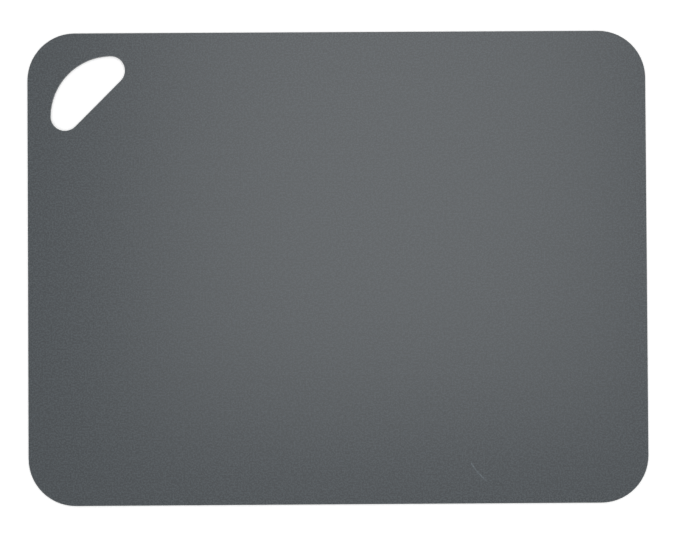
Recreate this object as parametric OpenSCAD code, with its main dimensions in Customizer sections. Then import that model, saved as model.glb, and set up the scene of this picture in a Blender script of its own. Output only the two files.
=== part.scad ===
// Flexible cutting mat: a thin sheet with rounded corners and a thumb hole across one of them,
// bonded all over to a softer non-slip backing.
// +X runs along the mat, +Y across it and +Z up. The origin is on the resting face, under the middle.

/* [Mat] */
// Length of the mat along X
mat_length = 380; // [280:1:500]
// Width of the mat along Y
mat_width = 290; // [200:1:400]
// Radius of the mat's four corners
corner_r = 29; // [22:0.5:60]

/* [Layers] */
// Thickness of the cutting sheet
sheet_t = 1.4; // [0.8:0.1:3]
// Rounding of the sheet's upper outer edge
sheet_edge_r = 0.4; // [0.1:0.05:0.6]
// Thickness of the non-slip backing
backing_t = 0.6; // [0.4:0.1:2]
// Rounding of the backing's lower outer edge
backing_edge_r = 0.2; // [0.05:0.05:0.3]

/* [Grip underneath] */
// Distance from one groove in the backing's underside to the next
groove_pitch = 6; // [4:0.5:12]
// Width of each groove
groove_width = 1.5; // [0.8:0.1:3]
// Depth of each groove
groove_depth = 0.2; // [0.1:0.05:0.3]
// Smooth border left round the mat and round the hole
grip_margin = 8; // [4:0.5:20]

/* [Thumb hole] */
// Strip left between the hole and each of the two edges beside it
hole_margin = 14; // [8:0.5:40]
// Radius of the hole's long arc, which faces the corner
hole_arc_r = 37.4; // [32:0.1:60]
// Radius of the hole's two round ends
hole_end_r = 9; // [4:0.5:12]
// Width of the hole, from the middle of its arc to its straight side
hole_width = 26; // [25:0.5:30]

/* [Hidden] */
$fn = 96;

sheet_colour = [0.38, 0.40, 0.41];
backing_colour = [0.24, 0.25, 0.26];

// Half sizes of the flat middle, between the centres of the four corners
core_x = mat_length / 2 - corner_r;
core_y = mat_width / 2 - corner_r;

// The hole is drawn about the centre of its long arc, with its axis along +X, and then turned
// so that its axis points at the corner. The arc comes to hole_margin from both edges.
hole_centre = [hole_margin + hole_arc_r - mat_length / 2, mat_width / 2 - hole_margin - hole_arc_r];
corner_direction = 135;
// The round ends stand out past the long arc by a hair, so that the two outlines cross cleanly.
seam = 0.002;
straight_x = hole_arc_r - hole_width;
end_x = straight_x + hole_end_r;
end_reach = hole_arc_r - hole_end_r + seam;
end_y = sqrt(end_reach * end_reach - end_x * end_x);

// The grooves lie in pairs either side of the mat's middle line, which runs along a rib.
groove_length = mat_length - 2 * grip_margin;
groove_pairs = floor((mat_width / 2 - grip_margin) / groove_pitch);

// How far the cutting shape runs past the faces that it cuts
overrun = 1;

// Section through an edge: a slab that ends in a wall at x = reach, with its upper corner rounded
module edge_section(reach, thick, edge_r) {
    square([reach, thick - edge_r]);
    square([reach - edge_r, thick]);
    translate([reach - edge_r, thick - edge_r]) circle(edge_r);
}

// Slab with four round corners and a rounded upper edge all round
module blank(thick, edge_r) {
    translate([-core_x, -core_y, 0]) cube([2 * core_x, 2 * core_y, thick]);
    for (side = [0, 1]) rotate(180 * side) {
        translate([0, core_y, 0]) rotate([90, 0, 90])
            linear_extrude(2 * core_x, center = true) edge_section(corner_r, thick, edge_r);
        translate([core_x, 0, 0]) rotate([90, 0, 0])
            linear_extrude(2 * core_y, center = true) edge_section(corner_r, thick, edge_r);
        translate([core_x, core_y, 0])
            rotate_extrude(angle = 90) edge_section(corner_r, thick, edge_r);
        translate([-core_x, core_y, 0]) rotate(90)
            rotate_extrude(angle = 90) edge_section(corner_r, thick, edge_r);
    }
}

// Outline of the hole: the long arc and the straight side, with the two round ends between them
module hole_outline() {
    intersection() {
        circle(hole_arc_r);
        polygon([
            [straight_x, -end_y],
            [end_x, -end_y],
            2 * [end_x, -end_y],
            2 * [end_x, end_y],
            [end_x, end_y],
            [straight_x, end_y]
        ]);
    }
    for (side = [-1, 1]) translate([end_x, side * end_y]) circle(hole_end_r);
}

// The punched hole's cutting shape, right through a layer and past both of its faces
module hole_cutter(thick) {
    translate([0, 0, -overrun]) linear_extrude(thick + 2 * overrun) hole_outline();
}

// One layer of the mat, with its rounded edge on top
module layer(thick, edge_r) {
    difference() {
        blank(thick, edge_r);
        translate(hole_centre) rotate(corner_direction) hole_cutter(thick);
    }
}

// Outline of the mat drawn inset from its edge
module inset_outline(inset) {
    square([2 * core_x, mat_width - 2 * inset], center = true);
    square([mat_length - 2 * inset, 2 * core_y], center = true);
    for (x = [-core_x, core_x], y = [-core_y, core_y]) translate([x, y]) circle(corner_r - inset);
}

// The grooves between the backing's grip ribs, ending at a smooth border round the mat and the hole
module grip_grooves() {
    difference() {
        intersection() {
            for (side = [-1, 1], i = [0 : groove_pairs - 1]) translate([0, side * (i + 0.5) * groove_pitch])
                square([groove_length, groove_width], center = true);
            inset_outline(grip_margin);
        }
        translate(hole_centre) circle(hole_arc_r + grip_margin);
    }
}

// The sheet that is cut on, on top of the backing
module cutting_sheet() {
    color(sheet_colour) translate([0, 0, backing_t]) layer(sheet_t, sheet_edge_r);
}

// The softer layer underneath, with its rounded edge and its grooves downwards
module grip_backing() {
    color(backing_colour) translate([0, 0, backing_t]) mirror([0, 0, 1]) difference() {
        layer(backing_t, backing_edge_r);
        translate([0, 0, backing_t - groove_depth]) linear_extrude(groove_depth + overrun) grip_grooves();
    }
}

cutting_sheet();
grip_backing();
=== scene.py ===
import math

import bpy
from mathutils import Euler, Matrix, Vector


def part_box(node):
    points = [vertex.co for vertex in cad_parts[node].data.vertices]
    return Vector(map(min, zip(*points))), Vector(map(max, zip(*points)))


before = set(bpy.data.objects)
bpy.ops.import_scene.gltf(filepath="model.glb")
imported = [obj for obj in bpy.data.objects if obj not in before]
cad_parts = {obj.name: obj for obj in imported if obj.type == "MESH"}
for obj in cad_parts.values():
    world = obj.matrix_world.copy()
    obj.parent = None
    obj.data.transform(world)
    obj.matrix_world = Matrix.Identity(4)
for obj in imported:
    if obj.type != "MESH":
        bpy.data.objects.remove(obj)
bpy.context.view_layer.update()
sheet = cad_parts["cutting_sheet"]
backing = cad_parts["grip_backing"]
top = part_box("cutting_sheet")[1][2]

MM = 0.001
WHITE = (1, 1, 1, 1)

# ---- Camera: above the mat, tipped and turned by under a degree from straight down ----
IMAGE_WIDTH = 677
SENSOR_WIDTH = 36
FOCAL_PIXELS = 1600
# The picture's scale at the cutting face
PIXELS_PER_METRE = 1629.42
# What the middle of the picture shows, as a place on the cutting face
AIM = Vector((0.48, 0.45, 0)) * MM + Vector((0, 0, top))
# Turns about X, Y and Z, in radians
TIP, TILT, ROLL = 0.01411, -0.00502, -0.00592

camera_data = bpy.data.cameras.new("overhead camera")
camera_data.sensor_width = SENSOR_WIDTH
camera_data.lens = FOCAL_PIXELS * SENSOR_WIDTH / IMAGE_WIDTH
camera = bpy.data.objects.new("overhead camera", camera_data)
bpy.context.scene.collection.objects.link(camera)
turn = Euler((TIP, TILT, ROLL), "XYZ").to_matrix()
distance = FOCAL_PIXELS / PIXELS_PER_METRE
eye = AIM + turn @ Vector((0, 0, distance))
camera.matrix_world = Matrix.Translation(eye) @ turn.to_4x4()
bpy.context.scene.camera = camera

# ---- Node trees ----
NOISE_DETAIL = 2
# A noise seldom goes beyond these two values.
NOISE_MIDDLE = (0.3, 0.7)


class Nodes:
    """Short calls for building one node tree."""

    def __init__(self, tree):
        self.tree = tree

    def add(self, kind, **settings):
        node = self.tree.nodes.new(kind)
        for name, value in settings.items():
            setattr(node, name, value)
        return node

    def fill(self, node, values):
        """Link or set the node's inputs, each given by its name or number."""
        for key, value in values.items():
            socket = node.inputs[key]
            if isinstance(value, bpy.types.NodeSocket):
                self.tree.links.new(value, socket)
            else:
                socket.default_value = value
        return node

    def math(self, operation, *values):
        node = self.add("ShaderNodeMath", operation=operation)
        return self.fill(node, dict(enumerate(values))).outputs[0]

    def ranged(self, value, low, high, start=0, end=1):
        """The value's start...end, taken to low...high and held there beyond them."""
        span = {"From Min": start, "From Max": end, "To Min": low, "To Max": high}
        node = self.add("ShaderNodeMapRange")
        return self.fill(node, {"Value": value, **span}).outputs["Result"]

    def noise(self, place, scale):
        node = self.add("ShaderNodeTexNoise")
        values = {"Vector": place, "Scale": scale, "Detail": NOISE_DETAIL}
        return self.fill(node, values).outputs["Fac"]

    def spread(self, noise, low, high):
        """A noise's useful middle, taken to low...high."""
        return self.ranged(noise, low, high, *NOISE_MIDDLE)


# ---- Light: an even white room and one rectangular softbox above the mat ----
ROOM_LEVEL = 0.85
# The room as the camera sees it, behind everything
BACKGROUND_LEVEL = 1
# How bright the softbox's face is, its size in metres and where it hangs
SOFTBOX_LEVEL = 1.88
SOFTBOX_SIZE = (0.8, 0.9)
SOFTBOX_PLACE = (0.09, 0.22, 1.5)

softbox_data = bpy.data.lights.new("softbox", "AREA")
softbox_data.shape = "RECTANGLE"
softbox_data.size, softbox_data.size_y = SOFTBOX_SIZE
softbox_data.energy = SOFTBOX_LEVEL * math.pi * SOFTBOX_SIZE[0] * SOFTBOX_SIZE[1]
softbox = bpy.data.objects.new("softbox", softbox_data)
softbox.location = SOFTBOX_PLACE
bpy.context.scene.collection.objects.link(softbox)

world = bpy.data.worlds.new("white room")
world.use_nodes = True
n = Nodes(world.node_tree)
seen = n.add("ShaderNodeLightPath").outputs["Is Camera Ray"]
level = n.ranged(seen, ROOM_LEVEL, BACKGROUND_LEVEL)
n.fill(world.node_tree.nodes["Background"], {"Color": WHITE, "Strength": level})
bpy.context.scene.world = world
bpy.context.scene.view_settings.view_transform = "Standard"

# ---- Materials ----
# How far apart the grain's highest and lowest points are, in either layer
GRAIN_DEPTH = 0.03 * MM
BUMP_STRENGTH = 1


def build_grain():
    """The fine grain, and the level it gives a colour, which goes from Low to High."""
    group = bpy.data.node_groups.new("fine grain", "ShaderNodeTree")
    kinds = {"Place": "Vector", "Scale": "Float", "Low": "Float", "High": "Float"}
    for name, kind in kinds.items():
        group.interface.new_socket(name, in_out="INPUT", socket_type="NodeSocket" + kind)
    for name in ("Grain", "Level"):
        group.interface.new_socket(name, in_out="OUTPUT", socket_type="NodeSocketFloat")
    n = Nodes(group)
    given = n.add("NodeGroupInput").outputs
    grain = n.noise(given["Place"], given["Scale"])
    level = n.spread(grain, given["Low"], given["High"])
    n.fill(n.add("NodeGroupOutput"), {"Grain": grain, "Level": level})
    return group


def add_grain(n, place, scale, contrast):
    """The grain and its level, placed in one material."""
    node = n.add("ShaderNodeGroup", node_tree=fine_grain)
    n.fill(node, {"Place": place, "Scale": scale, "Low": 1 - contrast, "High": 1 + contrast})
    return node.outputs["Grain"], node.outputs["Level"]


def new_material(name):
    material = bpy.data.materials.new(name)
    material.use_nodes = True
    shader = material.node_tree.nodes["Principled BSDF"]
    return material, Nodes(material.node_tree), shader


def tinted(n, colour, *levels):
    """The colour times each of the levels."""
    level = levels[0]
    for other in levels[1:]:
        level = n.math("MULTIPLY", level, other)
    node = n.add("ShaderNodeVectorMath", operation="SCALE")
    return n.fill(node, {0: colour, "Scale": level}).outputs["Vector"]


def bumped(n, grain):
    """The surface's normal, roughened by the grain."""
    values = {"Strength": BUMP_STRENGTH, "Distance": GRAIN_DEPTH, "Height": grain}
    return n.fill(n.add("ShaderNodeBump"), values).outputs["Normal"]


fine_grain = build_grain()

# The one light scuff, near the lower edge of the cutting face: where it starts, which way it
# runs, how long and wide it is, how much it bends, and how its strength breaks up along it
SCUFF_START = Vector((81.2, -120.3, 0)) * MM
SCUFF_HEADING = math.radians(-49)
SCUFF_LENGTH = 14.4 * MM
SCUFF_HALF_WIDTH = 0.45 * MM
SCUFF_BEND = 0.013 / MM
SCUFF_BREAK_SCALE = 600
SCUFF_WEAKEST = 0.45


def scuff_mask(n, place):
    """1 along the middle of the scuff, weaker where it breaks up, and 0 away from it."""
    mapping = n.add("ShaderNodeMapping", vector_type="TEXTURE")
    heading = (0, 0, SCUFF_HEADING)
    n.fill(mapping, {"Vector": place, "Location": SCUFF_START, "Rotation": heading})
    split = n.fill(n.add("ShaderNodeSeparateXYZ"), {0: mapping.outputs["Vector"]})
    along, across = split.outputs["X"], split.outputs["Y"]

    left = n.math("SUBTRACT", SCUFF_LENGTH, along)
    bow = n.math("MULTIPLY", n.math("MULTIPLY", along, left), SCUFF_BEND)
    off = n.math("ABSOLUTE", n.math("ADD", across, bow))
    line = n.math("SUBTRACT", 1, n.math("DIVIDE", off, SCUFF_HALF_WIDTH))
    line = n.math("MAXIMUM", line, 0)

    after_start = n.math("GREATER_THAN", along, 0)
    before_end = n.math("LESS_THAN", along, SCUFF_LENGTH)
    inside = n.math("MULTIPLY", after_start, before_end)
    broken = n.spread(n.noise(place, SCUFF_BREAK_SCALE), SCUFF_WEAKEST, 1)
    return n.math("MULTIPLY", n.math("MULTIPLY", line, inside), broken)


SHEET_COLOUR = (0.0435, 0.0535, 0.061)
SHEET_ROUGHNESS = 0.27
SHEET_ROUGHNESS_SWING = 0.03
SHEET_GRAIN_SCALE = 1050
SHEET_GRAIN_CONTRAST = 0.38
# Faint streaks that run along the mat
STREAK_STRETCH = (4, 210, 1)
STREAK_CONTRAST = 0.015
# How much lighter the scuff makes the plastic, as a share of its colour
SCUFF_GAIN = 2.2

sheet_material, n, shader = new_material("charcoal cutting plastic")
place = n.add("ShaderNodeTexCoord").outputs["Object"]
grain, grain_level = add_grain(n, place, SHEET_GRAIN_SCALE, SHEET_GRAIN_CONTRAST)
stretched = n.fill(n.add("ShaderNodeMapping"), {"Vector": place, "Scale": STREAK_STRETCH})
streaks = n.noise(stretched.outputs["Vector"], 1)
streak_level = n.spread(streaks, 1 - STREAK_CONTRAST, 1 + STREAK_CONTRAST)
scuff_level = n.math("ADD", 1, n.math("MULTIPLY", scuff_mask(n, place), SCUFF_GAIN))
smoothest = SHEET_ROUGHNESS - SHEET_ROUGHNESS_SWING
roughest = SHEET_ROUGHNESS + SHEET_ROUGHNESS_SWING
n.fill(shader, {
    "Base Color": tinted(n, SHEET_COLOUR, grain_level, streak_level, scuff_level),
    "Roughness": n.spread(grain, smoothest, roughest),
    "Normal": bumped(n, grain),
})

BACKING_COLOUR = (0.042, 0.046, 0.050)
BACKING_ROUGHNESS = 0.75
BACKING_GRAIN_SCALE = 900
BACKING_GRAIN_CONTRAST = 0.08

backing_material, n, shader = new_material("soft non-slip rubber")
place = n.add("ShaderNodeTexCoord").outputs["Object"]
grain, grain_level = add_grain(n, place, BACKING_GRAIN_SCALE, BACKING_GRAIN_CONTRAST)
n.fill(shader, {
    "Base Color": tinted(n, BACKING_COLOUR, grain_level),
    "Roughness": BACKING_ROUGHNESS,
    "Normal": bumped(n, grain),
})

for piece, material in ((sheet, sheet_material), (backing, backing_material)):
    piece.data.materials.clear()
    piece.data.materials.append(material)

# ---- Stage: a white table top, just clear of the mat's underside ----
FLOOR_SIZE = 6
FLOOR_DROP = 0.2 * MM
FLOOR_COLOUR = (0.95, 0.95, 0.95, 1)
FLOOR_ROUGHNESS = 0.9
FLOOR_GLOW = 0.22

bpy.ops.object.select_all(action="DESELECT")
bpy.ops.mesh.primitive_plane_add(size=FLOOR_SIZE, location=(0, 0, -FLOOR_DROP))
floor = bpy.context.object
floor.name = "white table top"
floor_material, n, shader = new_material("white table top")
n.fill(shader, {
    "Base Color": FLOOR_COLOUR,
    "Roughness": FLOOR_ROUGHNESS,
    "Specular IOR Level": 0,
    "Emission Color": WHITE,
    "Emission Strength": FLOOR_GLOW,
})
floor.data.materials.append(floor_material)
